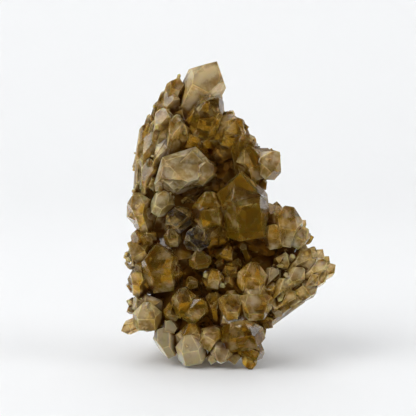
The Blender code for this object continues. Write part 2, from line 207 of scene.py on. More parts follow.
# The quartz's colours: three kinds of clear stone, cloudy stone, and what is laid over them, some of it
# painted shade and painted highlight.
SMOKY = (0.42, 0.24, 0.06, 1)
GOLDEN = (0.74, 0.43, 0.03, 1)
GREYISH = (0.34, 0.33, 0.28, 1)
CLOUDY = (0.92, 0.77, 0.50, 1)
SHADE = (0.12, 0.07, 0.02, 1)
# painted shade along the seams where crystals meet
SEAM_PAINTED_SHADE = (0.20, 0.10, 0.012, 1)
# pale veils and worn edges on the ridges, with a painted highlight of edges lit from behind
RIDGE_VEIL_AND_HIGHLIGHT = (0.92, 0.72, 0.34, 1)
# painted shade for the enclosed places and the black hollows
HOLLOW_PAINTED_SHADE = (0.09, 0.035, 0.006, 1)

# How strongly: by kind of face, in the dark crystals, near seams and ridges with widths in mm, and
# in the hollows, where shade is painted.
# tip faces painted greyer and darker, prism faces painted more golden: painted shade and light by kind of
# face
TIP_PAINTED_GREY = 0.15
TIP_PAINTED_SHADE = 0.24
PRISM_PAINTED_LIGHT = 0.35
KIND_FIT = 0.1
DARKEST = 0.8
# how far from a seam, in mm, a painted golden glow reaches
SEAM_GLOW = 5.0
SEAM_WIDTH = 1.0
SEAM_SHARE = 0.5
RIDGE_WIDTH = 0.32
RIDGE_SHARE = (0.25, 0.6)
EDGE_CLEAR = 0.35
EDGE_HAZE = 0.5
PAINTED_SHADE_FROM = (0.38, 0.75)
HOLLOW_FULL = 0.7
GREY_PAINTED_SHADE = 0.3
GREY_FADE = (-1.0, -0.3)

# The noise in it: clouds, wisps on the ridges, growth lines and grain.
CLOUDS = {"Scale": 210, "Detail": 4, "Roughness": 0.6}
CLOUD_FROM = (0.35, 0.7)
CLOUD_MILK = (-0.4, 0.5)
WISPS = {"Scale": 520, "Detail": 3, "Distortion": 1.2}
WISP_FROM = (0.35, 0.6)
LINES = {"Scale": 1500, "Detail": 2}
GRAIN = {"Scale": 1400, "Detail": 2}
GRAIN_SHARE = 0.5
BUMP = 0.06
BUMP_HIGH = 0.05 * MM

# How clear and how smooth it is, what it absorbs, and the light that scatters inside.
CLEARNESS = 0.97
HAZE_SOLID = 0.28
PAINTED_SHADE_SOLID = 0.35
EDGE_SOLID = 0.35
GOLD_SOLID = 0.08
ROUGH_FROM = (0.4, 0.7)
ROUGH = (0.03, 0.12)
HAZE_ROUGH = 0.14
IOR = 1.544
ABSORB = (0.583, 0.454, 0.0, 1)
DENSITY = 65.0
GLOW = 1.0
GLOW_REACH = (1.0, 0.65, 0.2)
GLOW_SCALE = 3 * MM


class Look(NamedTuple):
    """How a crystal looks."""

    gold: float  # -1 grey, 0 smoky brown, 1 golden
    milk: float  # 0 clear, 1 cloudy, more evens out the clouds
    dark: float
    sugar: float  # how crusted it is


class Zone(NamedTuple):
    """How the crystals round a point of the photograph look."""

    pixel: tuple  # in the 416 px frame
    radius: float  # in pixels
    gold: float
    milk: float
    dark: float = 0.0
    sugar: float = 0.0


ZONES = [
    # The crown
    Zone((200, 82), 22, 0.1, 0.95),
    Zone((208, 113), 12, 0.4, 0.0, 0.5),
    # The left slope
    Zone((165, 113), 24, 0.4, 0.55, 0.0, 0.03),
    Zone((150, 158), 26, 0.35, 0.6, 0.0, 0.04),
    # The golden band under the crown
    Zone((202, 138), 18, 1.0, 0.0, 0.0, 0.02),
    Zone((237, 128), 13, 0.4, 0.3),
    Zone((250, 158), 14, 0.5, 0.15, 0.3),
    Zone((273, 160), 13, 0.4, 0.6, 0.0, 0.05),
    Zone((190, 172), 20, 0.7, 0.9),
    # The two great crystals
    Zone((243, 195), 20, 1.0, 0.0, 0.0),
    Zone((208, 212), 16, 1.0, 0.15, 0.1),
    Zone((288, 225), 20, 0.5, 0.45),
    # The wing
    Zone((312, 262), 22, 0.4, 0.6, 0.0, 0.04),
    Zone((295, 288), 16, 0.4, 0.55, 0.0, 0.05),
    # The left side
    Zone((135, 208), 15, 0.4, 0.6),
    Zone((160, 200), 12, 0.4, 0.8, 0.0, 0.08),
    Zone((172, 236), 10, 0.3, 0.7, 0.0, 0.08),
    # The grey crystals in the hollow
    Zone((188, 222), 20, -1.0, 0.0, 0.6),
    # The hollow's floor
    Zone((215, 255), 26, 0.8, 0.1, 0.5, 0.03),
    # The lower left side
    Zone((160, 268), 20, 0.9, 0.25, 0.0),
    Zone((135, 265), 15, 0.5, 0.5, 0.0, 0.04),
    Zone((145, 310), 20, 0.6, 0.7),
    # Below the hollow
    Zone((190, 308), 18, 0.9, 0.2, 0.1),
    Zone((250, 290), 26, 0.8, 0.35),
    Zone((245, 330), 20, 0.2, 0.2, 0.25),
    # The bottom: milky, and paler still as painted light where the lamps leave it shaded
    Zone((165, 342), 18, 0.1, 1.3),
    Zone((197, 348), 16, 0.3, 1.3),
    Zone((245, 357), 14, 0.5, 0.4),
]

# The black hollows between the crystals, where shade is painted: where, and how wide, in pixels.
HOLLOWS = [
    ((221, 166), 20),
    ((158, 226), 10),
    ((195, 214), 12),
    ((184, 268), 10),
    ((210, 323), 12),
    ((262, 244), 15),
    ((151, 289), 8),
    ((225, 346), 9),
]

# The back, which the photograph doesn't show, and how far a look may stray from its zone's.
BACK_FROM = 4 * MM
BACK_GOLD = (0.3, 0.9)
BACK_MILK = 0.6
BACK_SUGAR = 0.04
LOOK_CHANCE = 0.12


class Grown(NamedTuple):
    """A crystal of middle size that the photograph shows and the solid leaves out."""

    pixel: tuple  # the middle of its broadest tip face, in the 416 px frame
    girth: float  # in mm
    wide: float  # across, as a share of the girth
    point: float  # where its tip lies from there, in degrees: 0 right, 90 up
    proud: float  # how far the face stands before what it covers, in mm
    tilt: tuple  # how the face turns away from the eye: right, up
    gold: float
    milk: float
    dark: float = 0.0
    blunt: float = 0.13  # how much of its tip the face behind takes, as a share of the girth
    long: float = 0.6  # how far its sides reach down from the tip faces, as a share of the girth


# From the back to the front: each stands before those it covers.
GROWN = [
    # The left slope
    Grown((168, 100), 10.0, 0.60, 70, 0.2, (-0.25, 0.30), 0.4, 0.60, 0.0, 0.05, 1.4),
    Grown((158, 122), 12.0, 0.55, 68, 0.2, (-0.30, 0.30), 0.4, 0.60, 0.0, 0.05, 1.4),
    Grown((174, 126), 10.0, 0.60, 72, 0.2, (-0.10, 0.30), 0.6, 0.45, 0.0, 0.05, 1.4),
    Grown((147, 146), 12.0, 0.50, 72, 0.2, (-0.35, 0.30), 0.4, 0.60, 0.0, 0.05, 1.4),
    Grown((160, 150), 11.0, 0.55, 66, 0.2, (-0.20, 0.30), 0.4, 0.70, 0.0, 0.05, 1.4),
    Grown((146, 172), 11.0, 0.60, 75, 0.2, (-0.30, 0.20), 0.4, 0.55, 0.0, 0.05, 1.4),
    # The pale ones at the upper left
    Grown((170, 173), 10.0, 0.90, 125, 0.2, (-0.30, 0.00), 0.9, 0.75, 0.0, 0.15, 0.3),
    Grown((206, 171), 9.0, 0.80, 60, 0.2, (0.30, 0.00), 0.9, 0.7, 0.0, 0.15, 0.3),
    Grown((187, 167), 14.6, 1.30, -72, 0.3, (0.05, 0.55), 0.9, 0.80, 0.0, 0.1, 0.3),
    # The left side
    Grown((138, 207), 12.0, 0.70, 100, 0.2, (-0.20, 0.10), 0.4, 0.60),
    Grown((163, 200), 9.0, 0.85, 60, 0.5, (-0.05, 0.20), 0.5, 0.65, 0.0, 0.13, 0.4),
    # The right side
    Grown((288, 219), 12.0, 0.90, 80, 0.2, (0.15, 0.10), 0.5, 0.50, 0.0, 0.12),
    Grown((273, 233), 8.0, 0.90, 100, 0.2, (-0.05, -0.10), 0.6, 0.45),
    Grown((303, 234), 7.0, 0.90, 60, 0.2, (0.20, 0.00), 0.4, 0.55),
    # The wing
    Grown((303, 257), 9.0, 0.60, 45, 0.2, (0.10, 0.30), 0.4, 0.60, 0.0, 0.05, 1.2),
    Grown((318, 267), 9.0, 0.60, 38, 0.2, (0.20, 0.20), 0.4, 0.65, 0.0, 0.05, 1.2),
    Grown((296, 276), 9.0, 0.60, 42, 0.2, (0.15, 0.20), 0.4, 0.55, 0.0, 0.05, 1.2),
    Grown((310, 283), 9.0, 0.55, 40, 0.2, (0.20, 0.00), 0.4, 0.60, 0.0, 0.05, 1.2),
    Grown((288, 299), 8.0, 0.60, 45, 0.2, (0.20, -0.10), 0.4, 0.55, 0.0, 0.05, 1.2),
    # The upper right
    Grown((271, 161), 9.5, 1.00, 48, 0.2, (0.10, 0.10), 0.4, 0.65, 0.0, 0.05, 0.4),
    Grown((251, 157), 10.0, 0.85, 110, 0.2, (0.10, 0.20), 0.5, 0.15, 0.25),
    Grown((237, 127), 9.5, 1.00, 70, 0.2, (0.10, 0.20), 0.5, 0.35),
    # The dark face under the crown
    Grown((208, 113), 11.5, 0.80, 75, 0.5, (0.05, 0.05), 0.4, 0.0, 0.5),
    # The two grey ones in the hollow, and one beside them
    Grown((177, 216), 10.0, 1.00, 130, 0.8, (0.05, 0.20), -1.0, 0.15, 0.1, 0.2, 0.3),
    Grown((196, 235), 9.5, 0.90, 120, 0.8, (-0.05, 0.20), -1.0, 0.2, 0.1, 0.2, 0.3),
    Grown((172, 236), 7.0, 0.80, 100, 0.3, (-0.10, 0.20), 0.4, 0.5, 0.0, 0.13, 0.3),
    # The two great ones
    Grown((209, 202), 10.5, 1.00, 95, 0.3, (-0.10, 0.20), 0.9, 0.1, 0.05, 0.15),
    Grown((244, 192), 14.5, 1.00, 100, 0.2, (0.05, 0.35), 1.0, 0.0, 0.12, 0.00, 0.90),
    # The floor
    Grown((200, 257), 7.0, 1.00, 100, 0.3, (0.10, 0.30), 1.0, 0.0, 0.2, 0.13, 0.3),
    Grown((228, 252), 6.5, 1.40, 70, 0.3, (0.10, 0.30), 0.3, 0.1, 0.1, 0.13, 0.3),
    Grown((230, 269), 6.0, 1.00, 110, 0.0, (0.00, 0.25), 0.8, 0.0, 0.2, 0.13, 0.3),
    Grown((214, 275), 6.0, 1.00, 80, 0.3, (-0.10, 0.10), 0.2, 0.3),
    Grown((184, 296), 8.5, 0.95, 95, 0.3, (0.00, 0.40), 0.3, 0.25, 0.1),
    Grown((199, 308), 8.5, 1.00, 60, 0.0, (0.20, -0.10), 1.0, 0.1),
    Grown((214, 303), 10.0, 0.60, 95, 0.3, (-0.10, 0.05), 1.0, 0.0, 0.3),
    # The group at the lower right, and those below it
    Grown((253, 271), 9.0, 1.10, 85, 0.3, (0.00, 0.35), 0.8, 0.4),
    Grown((272, 277), 9.0, 0.50, 60, 0.3, (0.25, 0.10), 0.6, 0.5),
    Grown((283, 288), 9.0, 0.50, 50, 0.3, (0.30, 0.05), 0.6, 0.5),
    Grown((233, 302), 11.0, 0.85, 88, 0.9, (-0.05, 0.05), 0.1, 0.3, 0.1, 0.25),
    Grown((256, 301), 12.3, 0.85, 92, 0.8, (0.05, 0.00), 0.9, 0.45, 0.0, 0.3, 0.3),
    Grown((253, 344), 8.0, 1.20, 70, 0.0, (0.15, 0.30), 0.2, 0.3, 0.1, 0.13, 0.4),
    Grown((237, 328), 12.5, 1.15, 100, 0.0, (-0.15, 0.10), 0.3, 0.2, 0.15, 0.30, 0.45),
    # The bottom: milky, and paler still as painted light where the lamps leave it shaded
    Grown((192, 329), 7.0, 1.20, 90, 0.2, (0.00, 0.35), 0.7, 0.2, 0.1),
    Grown((213, 334), 7.5, 1.00, 60, 0.2, (0.10, 0.20), 0.4, 0.4),
    Grown((222, 355), 7.0, 1.00, -90, 0.0, (0.00, -0.10), 0.2, 0.80),
    Grown((163, 338), 9.5, 0.80, 110, 0.2, (-0.20, 0.00), -0.1, 1.30),
    Grown((189, 345), 9.5, 1.00, 100, 0.4, (-0.10, 0.10), 0.2, 1.30),
    # The lower left side
    Grown((136, 250), 7.5, 1.00, 120, 0.2, (-0.20, 0.10), 0.4, 0.5),
    Grown((137, 280), 8.0, 0.80, 80, 0.2, (-0.20, 0.00), 0.5, 0.5),
    Grown((147, 311), 8.5, 1.10, 90, 0.3, (-0.05, 0.15), 0.5, 0.75),
]


# ---- the room ----


def in_scene(name, data):
    """A new object in the scene."""
    thing = bpy.data.objects.new(name, data)
    bpy.context.scene.collection.objects.link(thing)
    return thing


def placed(name, data, place, sight):
    """A camera or a lamp at its place, which looks along its sight line."""
    thing = in_scene(name, data)
    thing.location = place
    thing.rotation_euler = sight.to_track_quat("-Z", "Y").to_euler()
    return thing


def camera():
    data = bpy.data.cameras.new("camera")
    data.sensor_width = SENSOR
    data.lens = SENSOR * EYE_DISTANCE / (PIXELS * PIXEL_AT_AIM)
    data.clip_start, data.clip_end = CLIP
    bpy.context.scene.camera = placed("camera", data, EYE, -TO_EYE)


def lamps():
    for name, place, aim, width, power in LAMPS:
        data = bpy.data.lights.new(name, "AREA")
        data.shape = "DISK"
        data.size = width
        data.energy = power
        placed(name, data, Vector(place), Vector(aim) - Vector(place))


def fill(tree, made, inputs):
    """Sets a node's inputs, each to a value or to another node's output."""
    for name, value in inputs.items():
        if isinstance(value, bpy.types.NodeSocket):
            tree.links.new(value, made.inputs[name])
        else:
            made.inputs[name].default_value = value


def node(tree, kind, inputs=None, **settings):
    """A new shader node."""
    made = tree.nodes.new("ShaderNode" + kind)
    for name, value in settings.items():
        setattr(made, name, value)
    fill(tree, made, inputs or {})
    return made


def maths(tree, operation, a, b=0.0, clamp=False):
    return node(tree, "Math", {0: a, 1: b}, operation=operation, use_clamp=clamp).outputs[0]


def ranged(tree, value, low, high, to_low=0.0, to_high=1.0):
    """A value that passes smoothly from one range into another."""
    inputs = {"Value": value, "From Min": low, "From Max": high, "To Min": to_low, "To Max": to_high}
    return node(tree, "MapRange", inputs, interpolation_type="SMOOTHSTEP").outputs["Result"]


def world():
    """A bright room above and behind the object, and a dim one behind the camera."""
    room = bpy.data.worlds.new("studio")
    bpy.context.scene.world = room
    room.use_nodes = True
    tree = room.node_tree
    sight = node(tree, "SeparateXYZ", {"Vector": node(tree, "TexCoord").outputs["Generated"]})
    behind = ranged(tree, sight.outputs["Y"], *BACK_FADE, FRONT_ROOM, BACK_ROOM)
    above = ranged(tree, sight.outputs["Z"], *TOP_FADE, 0.0, TOP_ROOM)
    bright = maths(tree, "MAXIMUM", behind, above)
    fill(tree, tree.nodes["Background"], {"Strength": bright, "Color": ROOM_TINT})


def floor_paper():
    m = bpy.data.materials.new("floor_paper")
    m.use_nodes = True
    fill(m.node_tree, m.node_tree.nodes["Principled BSDF"], {"Base Color": PAPER, "Roughness": PAPER_ROUGH})
    return m


def sweep():
    """The floor, which curves up into a backdrop all round."""
    profile = [(FLOOR_FLAT, 0.0)]
    for k in range(1, TURN_STEPS + 1):
        a = math.pi / 2 * k / TURN_STEPS
        profile.append((FLOOR_FLAT + FLOOR_TURN * math.sin(a), FLOOR_TURN * (1 - math.cos(a))))
    profile.append((FLOOR_FLAT + FLOOR_TURN, WALL_HIGH))
    verts = [(0, 0, 0)]
    for radius, z in profile:
        for k in range(ROUND):
            a = math.tau * k / ROUND
            verts.append((radius * math.cos(a), radius * math.sin(a), z))
    faces = []
    for k in range(ROUND):
        n = (k + 1) % ROUND
        faces.append((0, 1 + k, 1 + n))
        for ring in range(len(profile) - 1):
            low = 1 + ring * ROUND
            high = low + ROUND
            faces.append((low + k, high + k, high + n, low + n))
    mesh = bpy.data.meshes.new("floor")
    mesh.from_pydata(verts, [], faces)
    mesh.polygons.foreach_set("use_smooth", [True] * len(faces))
    mesh.materials.append(floor_paper())
    floor = in_scene("floor", mesh)
    floor.visible_glossy = False


# ---- places in the photograph ----


def on_plane(pixel):
    """The point of the plane through the camera's aim, square to its sight line, that a pixel shows."""
    x = pixel[0] - PIXELS / 2
    y = pixel[1] - PIXELS / 2
    return AIM + (RIGHT * x - UP * y) * PIXEL_AT_AIM


def seen_at(point):
    """The pixel at which the camera sees a point."""
    sight = point - EYE
    scale = EYE_DISTANCE / -sight.dot(TO_EYE) / PIXEL_AT_AIM
    return sight.x * scale + PIXELS / 2, -sight.dot(UP) * scale + PIXELS / 2


# ---- the crystals of the CAD solid ----


def fused(mesh):
    """A mesh with each flat face whole again."""
    bm = bmesh.new()
    bm.from_mesh(mesh)
    bmesh.ops.remove_doubles(bm, verts=bm.verts, dist=WELD)
    bmesh.ops.dissolve_limit(bm, angle_limit=FLAT, verts=bm.verts, edges=bm.edges)
    bm.verts.index_update()
    bm.faces.index_update()
    return bm


def ridges_of(bm):
    return [e for e in bm.edges if e.calc_face_angle_signed(0) > CREASE]


def seams_of(bm):
    return [e for e in bm.edges if e.calc_face_angle_signed(0) < -CREASE]


def marked(edges, every):
    """A tree of points along the edges, at most this far apart."""
    steps = [1 + int(e.calc_length() / every) for e in edges]
    marks = kdtree.KDTree(sum(steps) + len(steps))
    for e, count in zip(edges, steps):
        a, b = (v.co for v in e.verts)
        for s in range(count + 1):
            marks.insert(a.lerp(b, s / count), 0)
    marks.balance()
    return marks


def crystal_of_each(bm):
    """Which crystal each facet belongs to: facets that meet in a ridge are one crystal's."""
    of = [-1] * len(bm.faces)
    count = 0
    for first in bm.faces:
        if of[first.index] >= 0:
            continue
        of[first.index] = count
        todo = [first]
        while todo:
            ridges = [e for e in todo.pop().edges if e.calc_face_angle_signed(0) > LEAST_RIDGE]
            for face in (f for e in ridges for f in e.link_faces):
                if of[face.index] < 0:
                    of[face.index] = count
                    todo.append(face)
        count += 1
    return of, count


def prism_like(normal, axis, miss):
    return abs(normal.dot(axis)) < miss


def tip_like(normal, axis, miss):
    return abs(abs(normal.dot(axis)) - TIP_NORMAL) < miss


def crystal_frame(faces):
    """A crystal's long axis, which its faces' normals fit best, and one of its prism faces' normals."""
    normals = [(f.normal.copy(), f.calc_area()) for f in faces]
    total = sum((n * area for n, area in normals), Vector())
    best = total.normalized()
    fit = 0.0
    for (a, _), (b, _) in itertools.combinations(normals, 2):
        axis = a.cross(b)
        if axis.length < LEAST_TURN:
            continue
        axis.normalize()
        score = sum(area for n, area in normals if prism_like(n, axis, CLOSE_FIT))
        score += sum(area for n, area in normals if tip_like(n, axis, CLOSE_FIT))
        if score > fit:
            best = axis
            fit = score
    tips = sum((n * area for n, area in normals if tip_like(n, best, ROUGH_FIT)), Vector())
    if best.dot(tips if tips.length > 0 else total) < 0:
        best = -best
    prisms = [(area, n) for n, area in normals if prism_like(n, best, ROUGH_FIT)]
    side = max(prisms, key=lambda p: p[0])[1] if prisms else best.orthogonal()
    return best, side


def look_of(middle, rng):
    """A crystal's look: that of the zone it is seen in, or the back's."""
    chance = rng.uniform(-LOOK_CHANCE, LOOK_CHANCE)
    if middle.y >= BACK_FROM:
        return Look(rng.uniform(*BACK_GOLD), BACK_MILK * rng.random(), 0.0, BACK_SUGAR)
    x, y = seen_at(middle)
    near = min(ZONES, key=lambda z: math.hypot(x - z.pixel[0], y - z.pixel[1]) / z.radius)
    return Look(near.gold + chance, near.milk + chance, near.dark, near.sugar)


# ---- crystals of middle size ----


def as_object(bm, name):
    """A triangle mesh object of the facets."""
    mesh = bpy.data.meshes.new(name)
    flat = bm.copy()
    bmesh.ops.triangulate(flat, faces=flat.faces)
    flat.to_mesh(mesh)
    flat.free()
    return in_scene(name, mesh)


def unite(thing, mesh):
    """Unites a mesh of closed solids with thing."""
    other = in_scene("other", mesh)
    join = thing.modifiers.new("join", "BOOLEAN")
    join.operation = "UNION"
    join.solver = "MANIFOLD"
    join.object = other
    view = bpy.context.evaluated_depsgraph_get()
    whole = bpy.data.meshes.new_from_object(thing.evaluated_get(view))
    thing.modifiers.remove(join)
    thing.data = whole
    bpy.data.objects.remove(other)


def cut(solid, point, normal):
    """Cuts away what lies beyond the plane and closes the convex solid with one flat face."""
    made = bmesh.ops.bisect_plane(
        solid,
        geom=solid.verts[:] + solid.edges[:] + solid.faces[:],
        dist=CUT_SNAP,
        plane_co=point,
        plane_no=normal,
        clear_outer=True,
    )
    rim = [e for e in made["geom_cut"] if isinstance(e, bmesh.types.BMEdge)]
    if len(rim) > 2:
        bmesh.ops.contextual_create(solid, geom=rim)


def frontmost(tree, pixel, reach):
    """How far ahead of the aim's plane the mass stands round a pixel."""
    ahead = (EYE - AIM).normalized()
    found = []
    for share, count in FACE_RINGS:
        for k in range(count):
            x = reach * share * math.cos(k * math.tau / count)
            y = reach * share * math.sin(k * math.tau / count)
            place = on_plane((pixel[0] + x, pixel[1] + y))
            hit = tree.ray_cast(EYE, (place - EYE).normalized())[0]
            if hit is not None:
                found.append((hit - AIM).dot(ahead))
    return max(found, default=0.0)


def turned(crystal):
    """Which way its point lies along its broadest tip face, its long axis, and its front side's normal."""
    ahead = (EYE - AIM).normalized()
    up = ahead.cross(RIGHT)
    face = (ahead + RIGHT * crystal.tilt[0] + up * crystal.tilt[1]).normalized()
    turn = math.radians(crystal.point)
    towards = RIGHT * math.cos(turn) + up * math.sin(turn)
    towards = (towards - face * towards.dot(face)).normalized()
    axis = face * TIP_NORMAL + towards * TIP_STEEP
    front = (face - axis * TIP_NORMAL).normalized()
    return towards, axis, front


def carved(crystal, tip, axis, front, rng):
    """The crystal, cut from a block face by face."""
    girth = crystal.girth * MM
    solid = bmesh.new()
    bmesh.ops.create_cube(solid, size=BLOCK * girth, matrix=Matrix.Translation(tip - axis * girth))
    for k in range(6):
        side = Matrix.Rotation(k * math.tau / 6, 3, axis) @ front
        out = girth / 2 * (crystal.wide if k % 3 else 1) * rng.uniform(*SIDE_CHANCE)
        cut(solid, tip + side * out, side)
        if k == SIDE_BEHIND:
            push = -crystal.blunt * girth
        else:
            push = rng.uniform(*TIP_PUSH) * girth * (k % 2)
        normal = axis * TIP_NORMAL + side * TIP_STEEP
        cut(solid, tip + normal * push, normal)
    cut(solid, tip - axis * girth * (TIP_HIGH + crystal.long), -axis)
    return solid


def grow(thing, crystal, limit, rng):
    """Unites one crystal of middle size with the mass; returns its faces, long axis and front side."""
    girth = crystal.girth * MM
    view = bpy.context.evaluated_depsgraph_get()
    reach = FACE_REACH * crystal.girth * min(1, crystal.wide) * MM / PIXEL_AT_AIM
    stand = frontmost(BVHTree.FromObject(thing, view), crystal.pixel, reach) + crystal.proud * MM
    middle = on_plane(crystal.pixel).lerp(EYE, stand / EYE_DISTANCE)
    towards, axis, front = turned(crystal)
    solid = carved(crystal, middle + towards * girth / 2, axis, front, rng)
    past = limit - min(v.co.y for v in solid.verts)
    bmesh.ops.translate(solid, verts=solid.verts, vec=Vector((0, max(0.0, past), 0)))
    faces = [[v.co.copy() for v in f.verts] for f in solid.faces]
    mesh = bpy.data.meshes.new("grown")
    solid.to_mesh(mesh)
    solid.free()
    unite(thing, mesh)
    return faces, axis, front


# ---- sugar crystals ----


def any_way(rng):
    return Vector((rng.gauss(0, 1), rng.gauss(0, 1), rng.gauss(0, 1)))


def anywhere(loops, rng):
    """A random point of a triangle."""
    u = rng.random()
    v = rng.random()
    if u + v > 1:
        u, v = 1 - u, 1 - v
    a, b, c = (loop.vert.co for loop in loops)
    return a + (b - a) * u + (c - a) * v


def cell_of(point):
    return tuple(int(x // SUGAR_CELL) for x in point)


def crowded(root, half, near):
    """Whether a small crystal would stand too close to those that are there."""
    here = cell_of(root)
    for step in itertools.product((-1, 0, 1), repeat=3):
        cell = tuple(h + s for h, s in zip(here, step))
        for there, other in near.get(cell, ()):
            if (there - root).length < (other + half) * SUGAR_APART:
                return True
    return False


def sugar_axis(face, frame, rng):
    """A small crystal's axis and one of its sides: near its crystal's own, or loose on the face."""
    axis, side = frame
    splay = PARALLEL_SPLAY
    if axis.dot(face.normal) < LOOSE_BELOW or rng.random() < LOOSE:
        axis = face.normal
        side = any_way(rng)
        splay = LOOSE_SPLAY
    tilt = any_way(rng) * math.tan(splay) * SPLAY_SHARE
    return (axis + tilt).normalized(), side


def sugar(bm, of, frames, crust, rng):
    """Where small crystals grow: their roots, axes, sides, halves and reaches."""
    seams = marked(seams_of(bm), SEAM_MARKS)
    tris = bm.calc_loop_triangles()
    areas = np.array([(b.vert.co - a.vert.co).cross(c.vert.co - a.vert.co).length for a, b, c in tris])
    picks = np.random.default_rng(SEED).choice(len(tris), SUGAR_TRIES, p=areas / areas.sum())
    grown = []
    near = {}
    for pick in picks:
        root = anywhere(tris[pick], rng)
        face = tris[pick][0].face
        at_seam = max(0.0, 1 - seams.find(root)[2] / SUGAR_SEAM)
        wish = crust[of[face.index]] + at_seam * SEAM_SUGAR
        wish *= 0.5 + noise.noise(root / SUGAR_PATCH)
        if root.z < SUGAR_ABOVE or rng.random() > wish:
            continue
        half = SUGAR_HALF[0] + (SUGAR_HALF[1] - SUGAR_HALF[0]) * rng.random() ** SUGAR_SMALL
        if crowded(root, half, near):
            continue
        near.setdefault(cell_of(root), []).append((root, half))
        axis, side = sugar_axis(face, frames[of[face.index]], rng)
        sunk = half * (1 - axis.dot(face.normal)) * rng.uniform(*SUGAR_SUNK)
        reach = half * rng.uniform(*SUGAR_REACH)
        grown.append((root - face.normal * sunk, axis, side, half, reach))
        if len(grown) == SUGAR_COUNT:
            break
    return grown


def batches(grown):
    """The small crystals in groups that don't touch within a group."""
    groups = []
    for one in grown:
        root, axis, _, half, reach = one
        middle = root + axis * (reach + half - SUGAR_ROOT) / 2
        size = (reach + half + SUGAR_ROOT) / 2 + half * SUGAR_ROUND
        for group in groups:
            if all((middle - m).length > size + s for m, s, _ in group):
                group.append((middle, size, one))
                break
        else:
            groups.append([(middle, size, one)])
    return [[one for _, _, one in group] for group in groups]


def needle(root, axis, side, half, reach, rng):
    """A small closed six-sided crystal with a point: its corners and faces."""
    side = (side - axis * side.dot(axis)).normalized()
    other = axis.cross(side)
    wide = rng.uniform(*SUGAR_WIDE)
    corners = []
    for level in (-SUGAR_ROOT, reach):
        for k in range(6):
            a = math.tau * k / 6
            out = (side * wide * math.cos(a) + other * math.sin(a)) * half
            corners.append(root + axis * level + out)
    lean = (side * rng.uniform(-1, 1) + other * rng.uniform(-1, 1)) * SUGAR_LEAN * half
    corners.append(root + axis * (reach + half * rng.uniform(*SUGAR_POINT)) + lean)
    faces = [tuple(reversed(range(6)))]
    for k in range(6):
        n = (k + 1) % 6
        faces.append((k, n, 6 + n, 6 + k))
        faces.append((6 + k, 6 + n, 12))
    return corners, faces


def crusted(thing, grown, rng):
    """Unites the small crystals with the mass."""
    for group in batches(grown):
        verts = []
        faces = []
        for small in group:
            corners, sides = needle(*small, rng)
            faces += [tuple(len(verts) + i for i in side) for side in sides]
            verts += corners
        mesh = bpy.data.meshes.new("sugar")
        mesh.from_pydata(verts, [], faces)
        unite(thing, mesh)


# ---- the fine mesh ----


def rimmed(bm):
    """Gives each flat face a narrow border, narrower on the small ones."""
    for wide, above in zip(BORDERS, (math.inf, *BORDERS)):
        chosen = []
        for f in bm.faces:
            half = 2 * f.calc_area() / max(f.calc_perimeter(), LEAST_ROUND)
            if wide < half * BORDER_SHARE <= above and f.calc_area() > BORDER_AREA:
                chosen.append(f)
        bmesh.ops.inset_individual(bm, faces=chosen, thickness=wide, use_even_offset=False)


def halved(bm):
    """Halves the long edges and evens out the triangles of each flat face."""
    long = [e for e in bm.edges if e.calc_length() > LONGEST_EDGE]
    if not long:
        return
    bmesh.ops.subdivide_edges(bm, edges=long, cuts=1)
    bmesh.ops.triangulate(bm, faces=[f for f in bm.faces if len(f.verts) > 3])
    level = [e for e in bm.edges if e.calc_face_angle(0) < FLAT]
    bmesh.ops.beautify_fill(bm, faces=bm.faces, edges=level, method="ANGLE")


def without_folds(bm):
    """Drops the faces that lie on each other, with the same corners."""
    alike = {}
    for f in bm.faces:
        alike.setdefault(frozenset(f.verts), []).append(f)
    folded = [f for same in alike.values() if len(same) > 1 for f in same]
    bmesh.ops.delete(bm, geom=folded, context="FACES")


def without_pockets(bm):
    """Drops the small closed pockets that the joins leave beside the one great surface."""
    left = set(bm.verts)
    parts = []
    while left:
        part = [left.pop()]
        for v in part:
            for e in v.link_edges:
                other = e.other_vert(v)
                if other in left:
                    left.discard(other)
                    part.append(other)
        parts.append(part)
    parts.sort(key=len)
    bmesh.ops.delete(bm, geom=[v for part in parts[:-1] for v in part], context="VERTS")


def refined(mesh):
    """The mesh with each flat face bordered, in triangles of even size."""
    bm = fused(mesh)
    rimmed(bm)
    bmesh.ops.triangulate(bm, faces=bm.faces)
    for _ in range(HALVINGS):
        halved(bm)
    without_folds(bm)
    without_pockets(bm)
    bm.verts.index_update()
    bm.faces.index_update()
    return bm


def edge_distances(bm, edges):
    """How far each vertex is from the nearest of the given edges."""
    marks = marked(edges, MARK_EVERY)
    return [marks.find(v.co)[2] for v in bm.verts]


def depths(bm):
    """How enclosed each vertex is: 0 in the open, 1 deep in a hollow."""
    tree = BVHTree.FromBMesh(bm)
    rays = []
    for k in range(RAYS):
        z = 1 - (k + 0.5) / RAYS * RAY_DIP
        a = k * math.pi * (3 - math.sqrt(5))
        r = math.sqrt(1 - z * z)
        rays.append(Vector((r * math.cos(a), r * math.sin(a), z)))
    deep = []
    for v in bm.verts:
        turn = v.normal.to_track_quat("Z", "Y")
        start = v.co + v.normal * RAY_START
        shut = 0.0
        for ray in rays:
            hit = tree.ray_cast(start, turn @ ray, RAY_REACH)[3]
            if hit is not None:
                shut += 1 - FAR_HIT * hit / RAY_REACH
        deep.append(shut / RAYS)
    return deep


def shadows(bm):
    """How far each vertex lies in one of the black hollows, where shade is painted."""
    found = []
    for v in bm.verts:
        x, y = seen_at(v.co)
        shade = max(1 - math.hypot(x - there[0], y - there[1]) / wide for there, wide in HOLLOWS)
        found.append(max(0.0, shade) if v.co.y < BACK_FROM else 0.0)
    return found


